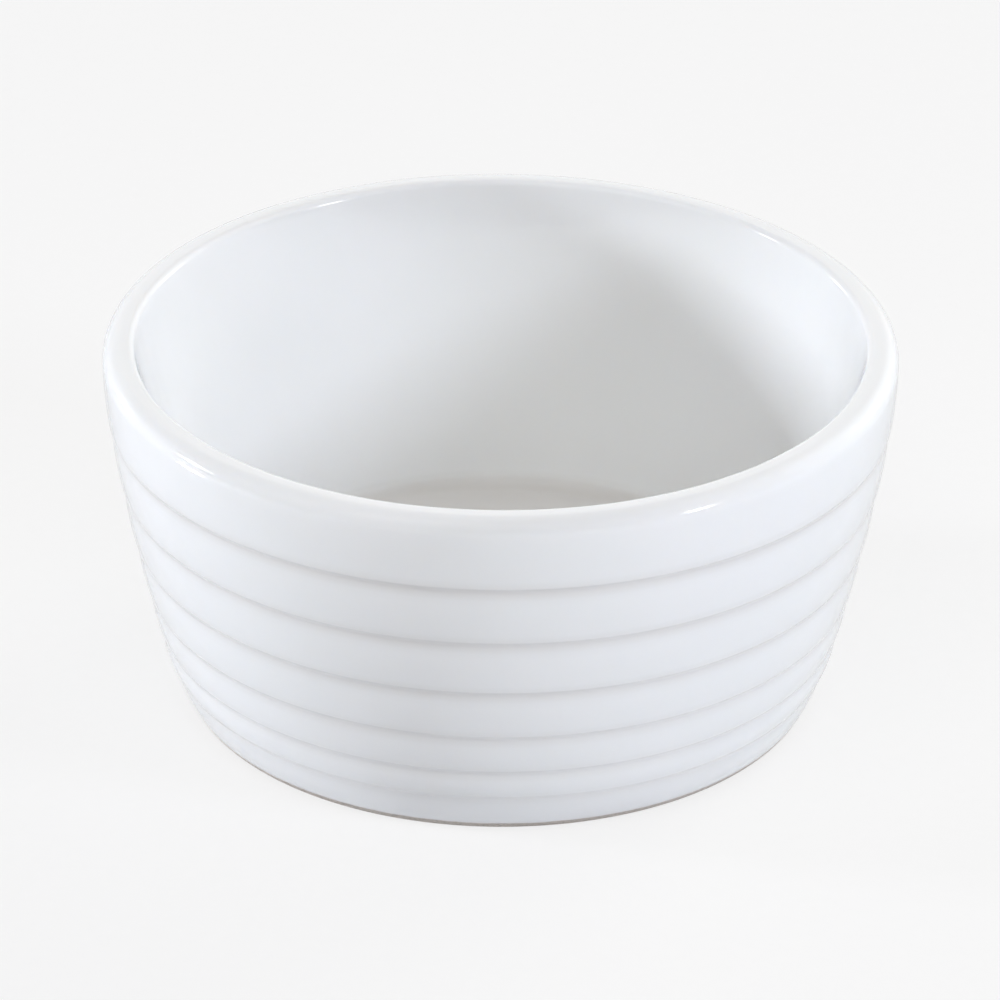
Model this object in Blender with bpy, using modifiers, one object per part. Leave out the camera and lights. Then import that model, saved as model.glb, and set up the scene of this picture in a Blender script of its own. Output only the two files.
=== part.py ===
"""Porcelain shaving bowl: one fired and glazed piece, turned about the Z axis.

Metres, +Z up. The origin is the centre of the foot's underside, on the surface
that the bowl stands on. From the outside in, the shape is a rounded lip over a
plain rim band, five lapped rings that get shorter towards the foot, a foot band
that turns in, a foot ring with a shallow recess inside it, and a plain tapered
cavity with a flat floor.
"""

import math

import bpy

MM = 0.001

# The whole bowl
RIM_RADIUS = 52.0 * MM
HEIGHT = 50.0 * MM
TURN_STEPS = 64

# Lip: a full round between the inner wall and the upright outer face
LIP_ROUND = 2.24 * MM
LIP_WIDTH = 4.0 * MM
LIP_STEPS = 5

# Outer wall: the grooves between the rings lie on a tapered, slightly full line
RING_HEIGHTS = [8.4 * MM, 8.0 * MM, 7.3 * MM, 5.9 * MM, 4.4 * MM]
FOOT_BAND_HEIGHT = 6.1 * MM
TOP_GROOVE_RADIUS = 51.0 * MM
LOW_GROOVE_RADIUS = 43.8 * MM
WALL_FULLNESS = 0.55 * MM

# Each ring: a full face that ends in a rounded edge lapping over the ring below
LAP = 0.4 * MM
LAP_EDGE = 0.5 * MM
RING_FULLNESS = 0.2 * MM
FACE_STEPS = 4

# Foot
FOOT_RADIUS = 41.4 * MM
FOOT_ROUND = 1.2 * MM
FOOT_RING_WIDTH = 4.0 * MM
RECESS_DEPTH = 3.2 * MM
RECESS_ROUND = 1.4 * MM
RECESS_SLOPE = 0.8 * MM
ROUND_STEPS = 3

# Cavity
INNER_TAPER = math.radians(14.6)
FLOOR_TOP = 8.6 * MM
FLOOR_ROUND = 4.0 * MM
FLOOR_STEPS = 5

PORCELAIN_COLOUR = (0.86, 0.88, 0.89, 1.0)
PORCELAIN_ROUGHNESS = 0.12


def clear_scene():
    for old in list(bpy.data.objects):
        bpy.data.objects.remove(old, do_unlink=True)


def between(start, end, share):
    return start + (end - start) * share


def full_line(top, bottom, fullness, steps):
    """Points down from top to bottom, both included, swelling outwards by fullness in the middle."""
    points = []
    for step in range(steps + 1):
        share = step / steps
        swell = 4.0 * fullness * share * (1.0 - share)
        points.append((between(top[0], bottom[0], share) + swell, between(top[1], bottom[1], share)))
    return points


def rounded_corner(before, corner, after, radius, steps):
    """The arc of the given radius that rounds a corner, from the side of before to that of after."""
    ways = []
    for end in (before, after):
        away = (end[0] - corner[0], end[1] - corner[1])
        length = math.hypot(*away)
        ways.append((away[0] / length, away[1] / length))
    half_angle = 0.5 * math.acos(ways[0][0] * ways[1][0] + ways[0][1] * ways[1][1])
    middle = (ways[0][0] + ways[1][0], ways[0][1] + ways[1][1])
    reach = radius / math.sin(half_angle) / math.hypot(*middle)
    centre = (corner[0] + middle[0] * reach, corner[1] + middle[1] * reach)
    tangent = radius / math.tan(half_angle)
    start = (corner[0] + ways[0][0] * tangent, corner[1] + ways[0][1] * tangent)
    first = math.atan2(start[1] - centre[1], start[0] - centre[0])
    cross = ways[0][0] * ways[1][1] - ways[0][1] * ways[1][0]
    sweep = math.copysign(math.pi - 2.0 * half_angle, -cross)
    points = []
    for step in range(steps + 1):
        angle = first + sweep * step / steps
        points.append((centre[0] + radius * math.cos(angle), centre[1] + radius * math.sin(angle)))
    return points


def groove_radius(height):
    """Radius of the outer wall at the bottom of a groove at this height."""
    top = FOOT_BAND_HEIGHT + sum(RING_HEIGHTS)
    share = (top - height) / (top - FOOT_BAND_HEIGHT)
    swell = 4.0 * WALL_FULLNESS * share * (1.0 - share)
    return between(TOP_GROOVE_RADIUS, LOW_GROOVE_RADIUS, share) + swell


def cavity_points():
    """From the middle of the floor out and up the inner wall to where the lip starts."""
    lip_inner = (RIM_RADIUS - LIP_WIDTH, HEIGHT)
    wall_foot = (lip_inner[0] - (HEIGHT - FLOOR_TOP) * math.tan(INNER_TAPER), FLOOR_TOP)
    floor_middle = (0.0, FLOOR_TOP)
    points = [floor_middle]
    points += rounded_corner(floor_middle, wall_foot, lip_inner, FLOOR_ROUND, FLOOR_STEPS)
    points += rounded_corner(wall_foot, lip_inner, (RIM_RADIUS, HEIGHT), LIP_ROUND, LIP_STEPS)
    return points


def lapped_edge(height):
    """The rounded lower edge of a ring, ending in the groove at this height."""
    radius = groove_radius(height)
    edge = (radius + LAP, height + LAP_EDGE)
    below = (radius + 0.65 * LAP, height + 0.3 * LAP_EDGE)
    return [edge, below, (radius, height)]


def outer_points():
    """Down the outer side, from the top of the lip to the lowest groove."""
    shoulder = (RIM_RADIUS, HEIGHT - LIP_WIDTH)
    points = rounded_corner(
        (RIM_RADIUS - LIP_WIDTH, HEIGHT), (RIM_RADIUS, HEIGHT), shoulder, LIP_ROUND, LIP_STEPS
    )
    height = FOOT_BAND_HEIGHT + sum(RING_HEIGHTS)
    start = points.pop()
    for ring_height in [0.0] + RING_HEIGHTS:
        height -= ring_height
        edge = lapped_edge(height)
        points += full_line(start, edge[0], RING_FULLNESS, FACE_STEPS)
        points.append(edge[1])
        start = edge[2]
    return points + [start]


def foot_points():
    """From the lowest groove round the foot ring and under the bowl to the axis."""
    corner = (FOOT_RADIUS, 0.0)
    ring_inner = (FOOT_RADIUS - FOOT_RING_WIDTH, 0.0)
    recess = (ring_inner[0] - RECESS_SLOPE, RECESS_DEPTH)
    turn = rounded_corner((LOW_GROOVE_RADIUS, FOOT_BAND_HEIGHT), corner, ring_inner, FOOT_ROUND, ROUND_STEPS)
    points = full_line((LOW_GROOVE_RADIUS, FOOT_BAND_HEIGHT), turn[0], RING_FULLNESS, FACE_STEPS)[1:]
    points += turn[1:]
    points.append(ring_inner)
    points += rounded_corner(ring_inner, recess, (0.0, RECESS_DEPTH), RECESS_ROUND, ROUND_STEPS)
    points.append((0.0, RECESS_DEPTH))
    return points


def bowl_profile():
    return cavity_points() + outer_points() + foot_points()


def porcelain():
    material = bpy.data.materials.new("white_porcelain")
    material.use_nodes = True
    shader = material.node_tree.nodes["Principled BSDF"]
    shader.inputs["Base Color"].default_value = PORCELAIN_COLOUR
    shader.inputs["Roughness"].default_value = PORCELAIN_ROUGHNESS
    shader.inputs["Metallic"].default_value = 0.0
    return material


def turned(name, profile, material, collection):
    """An object made by turning a profile of (radius, height) points about Z."""
    mesh = bpy.data.meshes.new(name)
    points = [(radius, 0.0, height) for radius, height in profile]
    edges = [(index, index + 1) for index in range(len(points) - 1)]
    mesh.from_pydata(points, edges, [])
    mesh.materials.append(material)
    piece = bpy.data.objects.new(name, mesh)
    collection.objects.link(piece)
    screw = piece.modifiers.new("Turn", "SCREW")
    screw.axis = "Z"
    screw.steps = TURN_STEPS
    screw.render_steps = TURN_STEPS
    screw.use_merge_vertices = True
    screw.merge_threshold = 0.01 * MM
    screw.use_smooth_shade = True
    return piece


def main():
    clear_scene()
    collection = bpy.data.collections.new("shaving_bowl")
    bpy.context.scene.collection.children.link(collection)
    turned("bowl", bowl_profile(), porcelain(), collection)


main()
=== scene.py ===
"""Porcelain shaving bowl: the fine glazed body, its finish, and a plain pale studio.

Metres, in the frame of the CAD model: the bowl stands on Z = 0 and is turned about the Z axis.
"""

from collections import namedtuple
import math

import bmesh
import bpy
from mathutils import Matrix, Vector


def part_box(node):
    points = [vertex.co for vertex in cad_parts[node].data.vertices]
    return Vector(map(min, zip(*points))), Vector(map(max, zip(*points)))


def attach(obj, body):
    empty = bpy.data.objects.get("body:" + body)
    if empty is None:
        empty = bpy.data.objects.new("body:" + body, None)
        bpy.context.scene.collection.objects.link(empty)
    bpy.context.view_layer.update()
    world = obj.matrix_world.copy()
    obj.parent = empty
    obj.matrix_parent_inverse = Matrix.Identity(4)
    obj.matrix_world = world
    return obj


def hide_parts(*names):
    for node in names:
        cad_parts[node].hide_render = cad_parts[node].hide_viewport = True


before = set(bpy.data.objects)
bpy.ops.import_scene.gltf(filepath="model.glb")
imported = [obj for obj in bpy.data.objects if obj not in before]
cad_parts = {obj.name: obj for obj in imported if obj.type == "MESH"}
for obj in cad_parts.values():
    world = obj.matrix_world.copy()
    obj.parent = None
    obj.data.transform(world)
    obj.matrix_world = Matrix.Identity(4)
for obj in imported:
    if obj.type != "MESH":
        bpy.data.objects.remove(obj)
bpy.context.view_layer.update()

MM = 0.001

# The whole bowl, from the CAD node
RIM_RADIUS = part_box("bowl")[1][0]
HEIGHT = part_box("bowl")[1][2]
TURN_STEPS = 256

# Lip: a broad round outside and a tighter one inside, with a narrow flat between them
LIP_WIDTH = 4.0 * MM
LIP_OUTER_ROUND = 2.24 * MM
LIP_INNER_ROUND = 1.0 * MM

# Outer wall: the grooves between the rings lie on a tapered, slightly full line
RING_HEIGHTS = [8.4 * MM, 8.0 * MM, 7.3 * MM, 5.9 * MM, 4.4 * MM]
FOOT_BAND_HEIGHT = 6.1 * MM
TOP_GROOVE = FOOT_BAND_HEIGHT + sum(RING_HEIGHTS)
TOP_GROOVE_RADIUS = 51.0 * MM
LOW_GROOVE_RADIUS = 43.8 * MM
WALL_FULLNESS = 0.55 * MM

# Each ring: a full face whose rounded lower edge laps over the ring below, into a soft hollow
LAP = 0.45 * MM
LAP_ABOVE = 0.22 * MM
LAP_BELOW = 0.42 * MM
LAP_ROUND = 0.7 * MM
HOLLOW_ROUND = 1.5 * MM
RING_FULLNESS = 0.2 * MM
RIM_FULLNESS = 0.12 * MM

# Foot
FOOT_RADIUS = 41.4 * MM
FOOT_ROUND = 1.2 * MM
FOOT_RING_WIDTH = 4.0 * MM
FOOT_INNER_ROUND = 0.5 * MM
RECESS_DEPTH = 3.2 * MM
RECESS_ROUND = 1.4 * MM
RECESS_SLOPE = 0.8 * MM

# Cavity
INNER_TAPER = math.radians(14.6)
FLOOR_TOP = 8.6 * MM
FLOOR_ROUND = 2.5 * MM

# Painted shade in the hollows between the rings, darkest under the upper laps
GROOVE_SHADE_ATTRIBUTE = "painted_groove_shade"
SHADE_REACH = 1.0 * MM
SHADE_TOP = 0.9
SHADE_LOW = 0.4

# Fineness of the outline: the turn of each step round a corner, and the length of each step on a face
CORNER_STEP = math.radians(8.0)
FACE_STEP = 0.9 * MM

# Turning: a slightly oval rim, as a kiln leaves it, and the width that closes the seam and the poles
KILN_WARP = 0.002
WARP_TURN = 1.1
SEAM_WIDTH = 0.002 * MM

# Glaze and clay: a clear glossy coat over faintly clouded white, ending raggedly above the bare foot
# The bare band at the foot reaches this high, so that its clay colour also paints the contact shadow along
# the bottom edge
GLAZE_LINE = 0.95 * MM
GLAZE_LINE_FADE = 1.3
GLAZE_LINE_RAGGED = 0.3 * MM
RAGGED_SIZE = 3.0 * MM
GLAZE_WHITE = (0.845, 0.860, 0.870, 1.0)
GLAZE_CLOUD = (0.830, 0.848, 0.855, 1.0)
# Painted shade: a darker warm grey laid into the glaze in the hollows between the rings and over the cavity
# floor
SHADED_GLAZE = (0.740, 0.735, 0.725, 1.0)
CLOUD_SIZE = 26.0 * MM
# Painted shade over the cavity floor: out to this radius, fading over this width, and up from the floor from
# this height
CAVITY_SHADE_RADIUS = 39.0 * MM
CAVITY_SHADE_FADE = 2.0 * MM
CAVITY_SHADE_BASE = 0.2 * MM
CAVITY_SHADE = 1.0
# Bare clay of the foot, darkened to also paint the contact shadow where the foot meets the table
SHADED_BARE_CLAY = (0.580, 0.530, 0.480, 1.0)
SHADED_DUSTY_CLAY = (0.450, 0.415, 0.375, 1.0)
CLAY_GRAIN = 0.35 * MM
GLAZE_ROUGHNESS = 0.13
GLAZE_ROUGHNESS_VARIES = 0.08
CLAY_ROUGHNESS_ADDS = 0.55
BREATH_SIZE = 9.0 * MM
COAT_WEIGHT = 0.8
RIPPLE_SIZE = 7.0 * MM
PEEL_SIZE = 1.1 * MM
PEEL_SHARE = 0.12
GRAIN_SHARE = 1.5
RELIEF_STRENGTH = 0.25
RELIEF_DEPTH = 0.03 * MM

# Camera
CAMERA_TARGET = Vector((0.0, 0.0, 31.7 * MM))
CAMERA_DISTANCE = 887.0 * MM
CAMERA_ELEVATION = math.radians(27.44)
CAMERA_AIM_BELOW_TARGET = 5.8 * MM
CAMERA_ROLL = math.radians(0.27)
CAMERA_LENS_MM = 242.4
CAMERA_SENSOR_MM = 36.0
CAMERA_NEAR = 0.05
CAMERA_FAR = 50.0

# Studio: a pale floor and dome that are only looked at, a white table under them that throws light
# back up, a soft sky behind, and soft lights from the sides, above and behind
FLOOR_SIZE = 12.0
FLOOR_GLOW = 0.783
FLOOR_GREY = (0.14, 0.14, 0.14, 1.0)
FLOOR_SPECK = (0.13, 0.13, 0.13, 1.0)
TABLE_WHITE = (0.845, 0.857, 0.882, 1.0)
TABLE_SHADE = (0.830, 0.842, 0.867, 1.0)
TABLE_SIZE = 6.0
TABLE_GAP = 0.2 * MM
DOME_RADIUS = 5.0
DOME_GLOW = (0.922, 0.922, 0.922, 1.0)
SKY_DIM = 0.06
SKY_REAR = 0.88
SKY_BELOW = 0.75
SKY_REAR_STARTS = -0.15
SKY_REAR_FULL = 0.75
SKY_TOP_STARTS = 0.30
SKY_TOP_DIM = 0.95
SKY_HORIZON = 0.01
LIGHT_DISTANCE = 1.2
NEUTRAL = (1.0, 1.0, 1.0)

# Each soft light: azimuth from the camera's side towards its right, elevation, width, height, watts, colour
SOFTBOXES = {
    "left_softbox": (-96.0, 12.0, 0.20, 0.20, 10.6, (0.89, 0.92, 1.0)),
    "right_softbox": (63.0, 24.0, 0.32, 0.30, 7.5, (0.87, 0.90, 1.0)),
    "rear_softbox": (133.0, 28.0, 0.6, 0.5, 5.8, (1.0, 0.98, 0.92)),
    "overhead_softbox": (-14.0, 60.0, 1.0, 0.6, 7.4, (1.0, 0.96, 0.92)),
}

# Each narrow strip that shows only as a glint in the glaze: azimuth, elevation, width, height, watts
GLINT_STRIPS = {
    "left_strip": (-92.0, 15.0, 0.14, 0.13, 1.0),
    "left_strip_low": (-94.0, -17.0, 0.14, 0.13, 1.6),
    "right_strip": (55.0, 14.0, 0.16, 0.20, 1.4),
    "rear_right_strip": (123.0, 13.0, 0.20, 0.30, 0.5),
    "rear_left_strip": (-127.0, 8.0, 0.12, 0.22, 0.5),
}


class Socket:
    """A node's output that can stand in a sum. Each operator adds its Math node."""

    def __init__(self, graph, link):
        self.graph = graph
        self.link = link

    def __add__(self, other):
        return self.graph.math("ADD", self, other)

    def __radd__(self, other):
        return self.graph.math("ADD", other, self)

    def __sub__(self, other):
        return self.graph.math("SUBTRACT", self, other)

    def __rsub__(self, other):
        return self.graph.math("SUBTRACT", other, self)

    def __mul__(self, other):
        return self.graph.math("MULTIPLY", self, other)

    def __rmul__(self, other):
        return self.graph.math("MULTIPLY", other, self)

    def __truediv__(self, other):
        return self.graph.math("DIVIDE", self, other)

    def __rtruediv__(self, other):
        return self.graph.math("DIVIDE", other, self)

    def __pow__(self, other):
        return self.graph.math("POWER", self, other)


class Graph:
    """Adds nodes to one tree."""

    def __init__(self, tree):
        self.tree = tree

    def node(self, kind, settings=None, values=None, output=0):
        """Adds a node: its settings first, then the value or link of each named or numbered input."""
        made = self.tree.nodes.new(kind)
        for name, setting in (settings or {}).items():
            setattr(made, name, setting)
        for key, value in (values or {}).items():
            if isinstance(value, Socket):
                self.tree.links.new(value.link, made.inputs[key])
            else:
                made.inputs[key].default_value = value
        found = made.outputs[output] if len(made.outputs) else None
        return Socket(self, found)

    def math(self, operation, *values):
        return self.node("ShaderNodeMath", {"operation": operation}, dict(enumerate(values)))

    def noise(self, where, size, detail=2.0, roughness=0.5):
        """Noise between about 0 and 1 whose lumps are about this size, in metres."""
        values = {"Vector": where, "Scale": 1.0 / size, "Detail": detail, "Roughness": roughness}
        return self.node("ShaderNodeTexNoise", {}, values)

    def rise(self, value, low, high):
        """0 below low and 1 above high, with a smooth step between."""
        settings = {"interpolation_type": "SMOOTHSTEP"}
        return self.node("ShaderNodeMapRange", settings, {"Value": value, "From Min": low, "From Max": high})

    def blend(self, mask, first, second):
        """The first colour where the mask is 0 and the second where it is 1."""
        settings = {"data_type": "RGBA"}
        return self.node("ShaderNodeMix", settings, {0: mask, 6: first, 7: second}, output=2)


# ---------------------------------------------------------------- profile


# A corner of the section: its rounding, how far the face after it swells, and how much painted shade darkens
# the glaze around it
Corner = namedtuple("Corner", "radius height round full pool", defaults=(0.0, 0.0, 0.0))


def between(start, end, share):
    return start + (end - start) * share


def groove_radius(height):
    """Radius of the outer wall in the groove at this height."""
    share = (TOP_GROOVE - height) / (TOP_GROOVE - FOOT_BAND_HEIGHT)
    swell = 4.0 * WALL_FULLNESS * share * (1.0 - share)
    return between(TOP_GROOVE_RADIUS, LOW_GROOVE_RADIUS, share) + swell


def bowl_corners():
    """The section's corners from the middle of the floor, over the rim and back under the foot."""
    foot_inner = FOOT_RADIUS - FOOT_RING_WIDTH
    lip_inner = RIM_RADIUS - LIP_WIDTH
    floor_radius = lip_inner - (HEIGHT - FLOOR_TOP) * math.tan(INNER_TAPER)
    corners = [
        Corner(0.0, FLOOR_TOP),
        Corner(floor_radius, FLOOR_TOP, FLOOR_ROUND),
        Corner(lip_inner, HEIGHT, LIP_INNER_ROUND),
        Corner(RIM_RADIUS, HEIGHT, LIP_OUTER_ROUND, RIM_FULLNESS),
    ]
    height = TOP_GROOVE
    for number, ring_height in enumerate(RING_HEIGHTS + [0.0]):
        radius = groove_radius(height)
        # Painted shade in each groove, strongest at the top ring and weaker towards the foot
        pool = between(SHADE_TOP, SHADE_LOW, number / len(RING_HEIGHTS))
        corners.append(Corner(radius + LAP, height + LAP_ABOVE, LAP_ROUND))
        corners.append(Corner(radius, height - LAP_BELOW, HOLLOW_ROUND, RING_FULLNESS, pool))
        height -= ring_height
    return corners + [
        Corner(FOOT_RADIUS, 0.0, FOOT_ROUND),
        Corner(foot_inner, 0.0, FOOT_INNER_ROUND),
        Corner(foot_inner - RECESS_SLOPE, RECESS_DEPTH, RECESS_ROUND),
        Corner(0.0, RECESS_DEPTH),
    ]


def full_face(start, end, fullness):
    """Points after start up to end, on a face that swells outwards by fullness in the middle."""
    steps = max(1, round(math.dist(start, end) / FACE_STEP))
    points = []
    for step in range(1, steps + 1):
        share = step / steps
        swell = 4.0 * fullness * share * (1.0 - share)
        points.append((between(start[0], end[0], share) + swell, between(start[1], end[1], share)))
    return points


def rounded_corner(way_in, corner, way_out, radius):
    """The arc that rounds a corner, from the face that comes along way_in to the one along way_out."""
    turn_in = math.atan2(way_in[1], way_in[0])
    turn = math.remainder(math.atan2(way_out[1], way_out[0]) - turn_in, math.tau)
    tangent = radius * math.tan(0.5 * abs(turn))
    side = math.copysign(radius, turn)
    across = (-math.sin(turn_in), math.cos(turn_in))
    start = (corner[0] - tangent * math.cos(turn_in), corner[1] - tangent * math.sin(turn_in))
    centre = (start[0] + side * across[0], start[1] + side * across[1])
    steps = max(2, math.ceil(abs(turn) / CORNER_STEP))
    points = []
    for step in range(steps + 1):
        angle = turn_in + turn * step / steps
        points.append((centre[0] + side * math.sin(angle), centre[1] - side * math.cos(angle)))
    return points


def bowl_profile():
    """The section's outline: every corner rounded, with the full faces between."""
    corners = bowl_corners()
    points = [corners[0][:2]]
    for before, corner, after in zip(corners, corners[1:], corners[2:]):
        way_in = (corner.radius - before.radius - 4.0 * before.full, corner.height - before.height)
        way_out = (after.radius - corner.radius + 4.0 * corner.full, after.height - corner.height)
        arc = rounded_corner(way_in, corner[:2], way_out, corner.round)
        points += full_face(points[-1], arc[0], before.full) + arc[1:]
    return points + full_face(points[-1], corners[-1][:2], 0.0)


def painted_shade_at(point):
    """How much painted shade darkens the glaze at this point of the outline: 0 where there is none."""
    shades = []
    for corner in bowl_corners():
        reach = math.dist(point, corner[:2]) / SHADE_REACH
        shades.append(corner.pool * math.exp(-reach * reach))
    return max(shades)


# ---------------------------------------------------------------- turned body


def turning_tree(glaze):
    """Geometry Nodes that turn the object's own points about Z into a closed, smooth wall."""
    tree = bpy.data.node_groups.new("turned_porcelain", "GeometryNodeTree")
    sockets = tree.interface
    sockets.new_socket("Profile", in_out="INPUT", socket_type="NodeSocketGeometry")
    sockets.new_socket("Profile Points", in_out="INPUT", socket_type="NodeSocketInt")
    sockets.new_socket("Turn Steps", in_out="INPUT", socket_type="NodeSocketInt")
    sockets.new_socket("Kiln Warp", in_out="INPUT", socket_type="NodeSocketFloat")
    sockets.new_socket("Seam Width", in_out="INPUT", socket_type="NodeSocketFloat")
    sockets.new_socket("Bowl", in_out="OUTPUT", socket_type="NodeSocketGeometry")

    graph = Graph(tree)
    given = tree.nodes.new("NodeGroupInput")
    profile, count, steps, warp, seam = [Socket(graph, given.outputs[index]) for index in range(5)]

    sheet = graph.node("GeometryNodeMeshGrid", {}, {"Vertices X": steps + 1, "Vertices Y": count})
    index = graph.node("GeometryNodeInputIndex")
    turn = graph.math("FLOOR", (index + 0.5) / count)
    along = graph.math("ROUND", index - turn * count)
    place = graph.node("GeometryNodeInputPosition")
    settings = {"data_type": "FLOAT_VECTOR"}
    picked = graph.node("GeometryNodeSampleIndex", settings, {0: profile, "Value": place, "Index": along})
    radius = graph.node("ShaderNodeSeparateXYZ", {}, {0: picked})
    height = graph.node("ShaderNodeSeparateXYZ", {}, {0: picked}, output=2)
    angle = turn / steps * math.tau
    oval = 0.5 - 0.5 * graph.math("COSINE", 2.0 * angle + WARP_TURN)
    radius = radius * (1.0 - warp * oval)
    around = {
        "X": radius * graph.math("COSINE", angle),
        "Y": radius * graph.math("SINE", angle),
        "Z": height,
    }
    turned_place = graph.node("ShaderNodeCombineXYZ", {}, around)
    wall = graph.node("GeometryNodeSetPosition", {}, {"Geometry": sheet, "Position": turned_place})
    # Carries each profile point's painted shade onto the turned wall, for the glaze colour
    marked = graph.node("GeometryNodeInputNamedAttribute", {"data_type": "FLOAT"}, {"Name": GROOVE_SHADE_ATTRIBUTE})
    values = {0: profile, "Value": marked, "Index": along}
    pool = graph.node("GeometryNodeSampleIndex", {"data_type": "FLOAT"}, values)
    values = {"Geometry": wall, "Name": GROOVE_SHADE_ATTRIBUTE, "Value": pool}
    glazed = graph.node("GeometryNodeStoreNamedAttribute", {"data_type": "FLOAT"}, values)
    closed = graph.node("GeometryNodeMergeByDistance", {}, {"Geometry": glazed, "Distance": seam})
    smooth = graph.node("GeometryNodeSetShadeSmooth", {}, {"Geometry": closed})
    real = graph.node("GeometryNodeRealizeInstances", {}, {"Geometry": smooth})
    finished = graph.node("GeometryNodeSetMaterial", {}, {"Geometry": real, "Material": glaze})
    graph.node("NodeGroupOutput", {}, {0: finished})
    return tree


def applied(piece):
    """The piece as a plain mesh, with its modifiers worked in and its normals pointing out."""
    depsgraph = bpy.context.evaluated_depsgraph_get()
    mesh = bpy.data.meshes.new_from_object(piece.evaluated_get(depsgraph))
    piece.modifiers.clear()
    piece.data = mesh
    shape = bmesh.new()
    shape.from_mesh(mesh)
    bmesh.ops.recalc_face_normals(shape, faces=shape.faces)
    shape.to_mesh(mesh)
    shape.free()
    return piece


def turned_bowl(name, glaze):
    profile = bowl_profile()
    mesh = bpy.data.meshes.new(name)
    mesh.from_pydata([(radius, 0.0, height) for radius, height in profile], [], [])
    # Each profile point's share of painted shade in the hollows
    pool = mesh.attributes.new(GROOVE_SHADE_ATTRIBUTE, "FLOAT", "POINT")
    pool.data.foreach_set("value", [painted_shade_at(point) for point in profile])
    piece = bpy.data.objects.new(name, mesh)
    bpy.context.scene.collection.objects.link(piece)
    tree = turning_tree(glaze)
    turn = piece.modifiers.new("Turn", "NODES")
    turn.node_group = tree
    inputs = {
        "Profile Points": len(profile),
        "Turn Steps": TURN_STEPS,
        "Kiln Warp": KILN_WARP,
        "Seam Width": SEAM_WIDTH,
    }
    for socket in tree.interface.items_tree:
        if socket.name in inputs:
            turn[socket.identifier] = inputs[socket.name]
    return applied(piece)


# ---------------------------------------------------------------- finish


def new_material(name):
    material = bpy.data.materials.new(name)
    material.use_nodes = True
    material.node_tree.nodes.clear()
    return material, Graph(material.node_tree)


def glazed_porcelain():
    """Clear glaze over white porcelain, with painted shade in the hollows and on the cavity floor, and the
    bare clay showing where the foot stands, darkened there as painted contact shadow.
    """
    material, graph = new_material("glazed_porcelain")
    where = graph.node("ShaderNodeTexCoord", output=3)
    across = graph.node("ShaderNodeSeparateXYZ", {}, {0: where})
    along = graph.node("ShaderNodeSeparateXYZ", {}, {0: where}, output=1)
    height = graph.node("ShaderNodeSeparateXYZ", {}, {0: where}, output=2)
    radius = (across * across + along * along) ** 0.5

    ragged = graph.noise(where, RAGGED_SIZE, detail=4.0)
    edge = height + (ragged - 0.5) * GLAZE_LINE_RAGGED
    bare = 1.0 - graph.rise(edge, GLAZE_LINE, GLAZE_LINE_FADE * GLAZE_LINE)

    # Painted shade: the glaze turns a darker warm grey in the hollows between the rings and over the cavity
    # floor
    groove_shade = graph.node("ShaderNodeAttribute", {"attribute_name": GROOVE_SHADE_ATTRIBUTE}, output=2)
    # Painted shade over the whole cavity floor, fading up the rounding into the wall
    low_down = 1.0 - graph.rise(height, FLOOR_TOP + CAVITY_SHADE_BASE, FLOOR_TOP + FLOOR_ROUND)
    inside = 1.0 - graph.rise(radius, CAVITY_SHADE_RADIUS, CAVITY_SHADE_RADIUS + CAVITY_SHADE_FADE)
    painted_shade_mask = graph.math("MAXIMUM", groove_shade, low_down * inside * CAVITY_SHADE)
    cloudy = graph.rise(graph.noise(where, CLOUD_SIZE), 0.35, 0.65)
    thin = graph.blend(cloudy, GLAZE_WHITE, GLAZE_CLOUD)
    glaze = graph.blend(painted_shade_mask, thin, SHADED_GLAZE)
    # The bare clay, darkened to also paint the contact shadow along the bottom edge
    grain = graph.noise(where, CLAY_GRAIN, detail=3.0, roughness=0.7)
    clay = graph.blend(graph.rise(grain, 0.35, 0.75), SHADED_BARE_CLAY, SHADED_DUSTY_CLAY)
    colour = graph.blend(bare, glaze, clay)

    breath = graph.noise(where, BREATH_SIZE, detail=3.0)
    roughness = GLAZE_ROUGHNESS + GLAZE_ROUGHNESS_VARIES * breath + bare * CLAY_ROUGHNESS_ADDS

    ripple = graph.noise(where, RIPPLE_SIZE, detail=1.0)
    peel = graph.noise(where, PEEL_SIZE, detail=1.0)
    relief = ripple + peel * PEEL_SHARE + bare * grain * GRAIN_SHARE
    values = {"Strength": RELIEF_STRENGTH, "Distance": RELIEF_DEPTH, "Height": relief}
    bump = graph.node("ShaderNodeBump", {}, values)

    shader = graph.node(
        "ShaderNodeBsdfPrincipled",
        {"subsurface_method": "RANDOM_WALK"},
        {
            "Base Color": colour,
            "Roughness": roughness,
            "IOR": 1.5,
            "Subsurface Weight": 0.12,
            "Subsurface Radius": (1.0, 0.85, 0.7),
            "Subsurface Scale": 1.0 * MM,
            "Coat Weight": COAT_WEIGHT * (1.0 - bare),
            "Coat Roughness": 0.03,
            "Coat IOR": 1.5,
            "Normal": bump,
        },
    )
    graph.node("ShaderNodeOutputMaterial", {}, {"Surface": shader})
    return material


def floor_sheet():
    """Faintly specked pale acrylic, lit from inside."""
    material, graph = new_material("pale_floor")
    where = graph.node("ShaderNodeTexCoord", output=3)
    colour = graph.blend(graph.noise(where, 2.0 * MM), FLOOR_GREY, FLOOR_SPECK)
    values = {
        "Base Color": colour,
        "Roughness": 0.9,
        "Specular IOR Level": 0.0,
        "Emission Color": (1.0, 1.0, 1.0, 1.0),
        "Emission Strength": FLOOR_GLOW,
    }
    shader = graph.node("ShaderNodeBsdfPrincipled", {}, values)
    graph.node("ShaderNodeOutputMaterial", {}, {"Surface": shader})
    return material


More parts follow.
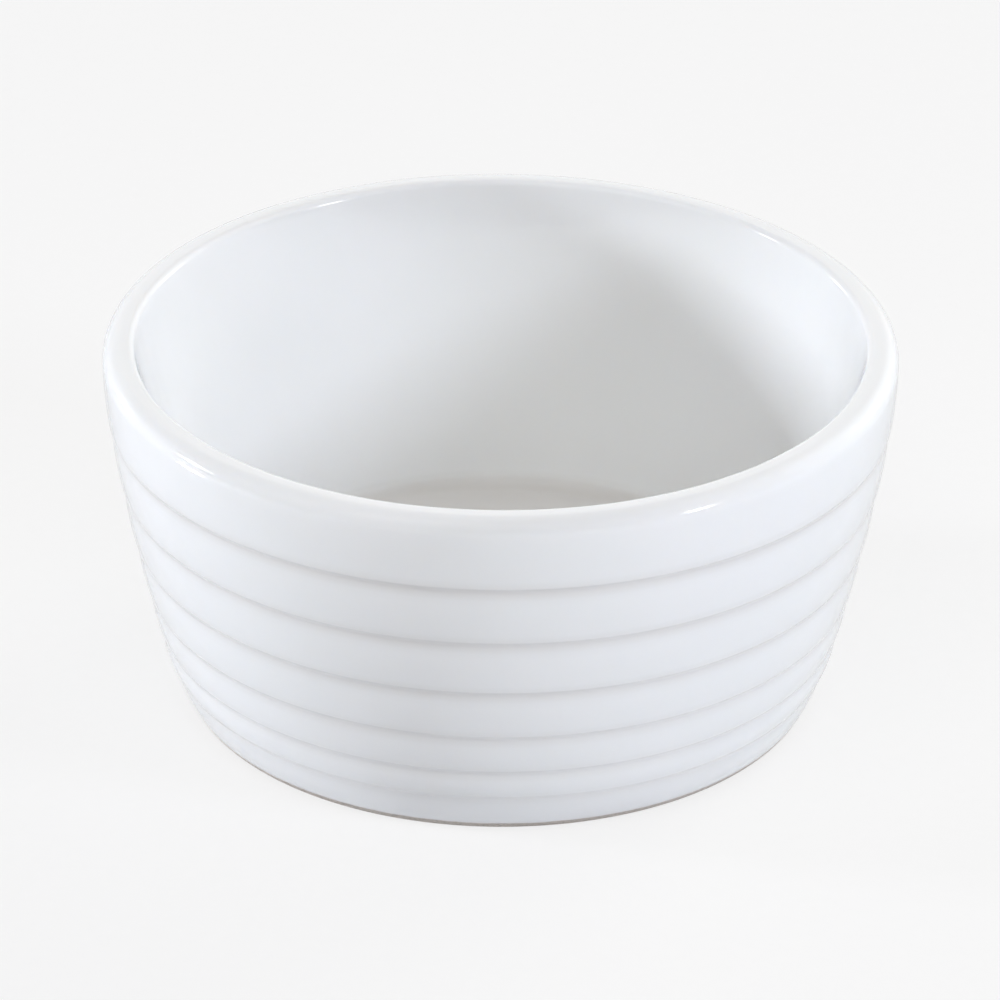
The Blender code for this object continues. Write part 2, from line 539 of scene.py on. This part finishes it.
def table_paint():
    material, graph = new_material("table_white")
    where = graph.node("ShaderNodeTexCoord", output=3)
    colour = graph.blend(graph.noise(where, 5.0 * MM), TABLE_WHITE, TABLE_SHADE)
    shader = graph.node("ShaderNodeBsdfPrincipled", {}, {"Base Color": colour, "Roughness": 0.6})
    graph.node("ShaderNodeOutputMaterial", {}, {"Surface": shader})
    return material


def dome_paint():
    material, graph = new_material("dome_glow")
    glow = graph.node("ShaderNodeEmission", {}, {"Color": DOME_GLOW})
    graph.node("ShaderNodeOutputMaterial", {}, {"Surface": glow})
    return material


# ---------------------------------------------------------------- studio


def add_camera():
    lens = bpy.data.cameras.new("camera")
    lens.lens = CAMERA_LENS_MM
    lens.sensor_width = CAMERA_SENSOR_MM
    lens.clip_start = CAMERA_NEAR
    lens.clip_end = CAMERA_FAR
    camera = bpy.data.objects.new("camera", lens)
    bpy.context.scene.collection.objects.link(camera)
    back = Vector((0.0, -math.cos(CAMERA_ELEVATION), math.sin(CAMERA_ELEVATION)))
    camera.location = CAMERA_TARGET + back * CAMERA_DISTANCE
    aim = CAMERA_TARGET - Vector((0.0, 0.0, CAMERA_AIM_BELOW_TARGET))
    level = (aim - camera.location).to_track_quat("-Z", "Y")
    camera.rotation_euler = (level.to_matrix() @ Matrix.Rotation(CAMERA_ROLL, 3, "Z")).to_euler()
    bpy.context.scene.camera = camera


def add_light(name, azimuth, elevation, width, height, watts, colour):
    """A soft rectangle of light that faces the bowl and isn't itself seen."""
    lamp = bpy.data.lights.new(name, "AREA")
    lamp.shape = "RECTANGLE"
    lamp.size = width
    lamp.size_y = height
    lamp.energy = watts
    lamp.color = colour
    light = bpy.data.objects.new(name, lamp)
    bpy.context.scene.collection.objects.link(light)
    turn, rise = math.radians(azimuth), math.radians(elevation)
    way = Vector((math.sin(turn) * math.cos(rise), -math.cos(turn) * math.cos(rise), math.sin(rise)))
    light.location = CAMERA_TARGET + way * LIGHT_DISTANCE
    light.rotation_euler = way.to_track_quat("Z", "Y").to_euler()
    light.visible_camera = False
    return light


def add_lights():
    for name, (azimuth, elevation, width, height, watts, colour) in SOFTBOXES.items():
        light = add_light(name, azimuth, elevation, width, height, watts, colour)
        light.visible_glossy = False
    for name, (azimuth, elevation, width, height, watts) in GLINT_STRIPS.items():
        light = add_light(name, azimuth, elevation, width, height, watts, NEUTRAL)
        light.visible_diffuse = False


def hide_from_light(stage):
    """Leaves a stage piece in view, and takes its light, shadow and mirror image off the bowl."""
    stage.visible_diffuse = False
    stage.visible_glossy = False
    stage.visible_transmission = False
    stage.visible_shadow = False


def square_sheet(name, size, height, material):
    half = size / 2.0
    corners = [(-half, -half), (half, -half), (half, half), (-half, half)]
    mesh = bpy.data.meshes.new(name)
    mesh.from_pydata([(x, y, height) for x, y in corners], [], [(0, 1, 2, 3)])
    mesh.materials.append(material)
    sheet = bpy.data.objects.new(name, mesh)
    bpy.context.scene.collection.objects.link(sheet)
    return sheet


def add_floor():
    floor = square_sheet("studio_floor", FLOOR_SIZE, 0.0, floor_sheet())
    hide_from_light(floor)


def add_table():
    """The white table that throws light back up at the bowl; the floor over it is what is seen."""
    table = square_sheet("studio_table", TABLE_SIZE, -TABLE_GAP, table_paint())
    table.visible_camera = False
    table.visible_glossy = False


def add_dome():
    """A pale backdrop all round, which lights nothing and isn't mirrored in the glaze."""
    shape = bmesh.new()
    bmesh.ops.create_icosphere(shape, subdivisions=4, radius=DOME_RADIUS)
    mesh = bpy.data.meshes.new("studio_dome")
    shape.to_mesh(mesh)
    shape.free()
    mesh.materials.append(dome_paint())
    dome = bpy.data.objects.new("studio_dome", mesh)
    bpy.context.scene.collection.objects.link(dome)
    hide_from_light(dome)


def add_sky():
    """Soft light behind the bowl, dim elsewhere, and pale below the horizon for the glaze to mirror."""
    world = bpy.data.worlds.new("studio_air")
    world.use_nodes = True
    world.node_tree.nodes.clear()
    graph = Graph(world.node_tree)
    way = graph.node("ShaderNodeTexCoord")
    back = graph.node("ShaderNodeSeparateXYZ", {}, {0: way}, output=1)
    up = graph.node("ShaderNodeSeparateXYZ", {}, {0: way}, output=2)
    low = 1.0 - graph.rise(up, SKY_TOP_STARTS, SKY_TOP_DIM)
    rear = graph.rise(back, SKY_REAR_STARTS, SKY_REAR_FULL) * low
    above = SKY_DIM + (SKY_REAR - SKY_DIM) * rear
    strength = SKY_BELOW + (above - SKY_BELOW) * graph.rise(up, -SKY_HORIZON, SKY_HORIZON)
    light = graph.node("ShaderNodeBackground", {}, {"Color": (1.0, 1.0, 1.0, 1.0), "Strength": strength})
    graph.node("ShaderNodeOutputWorld", {}, {"Surface": light})
    bpy.context.scene.world = world


bpy.context.scene.view_settings.view_transform = "Standard"
add_camera()
add_floor()
add_table()
add_dome()
add_sky()
add_lights()

bowl = turned_bowl("porcelain_bowl", glazed_porcelain())
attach(bowl, "root")
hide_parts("bowl")
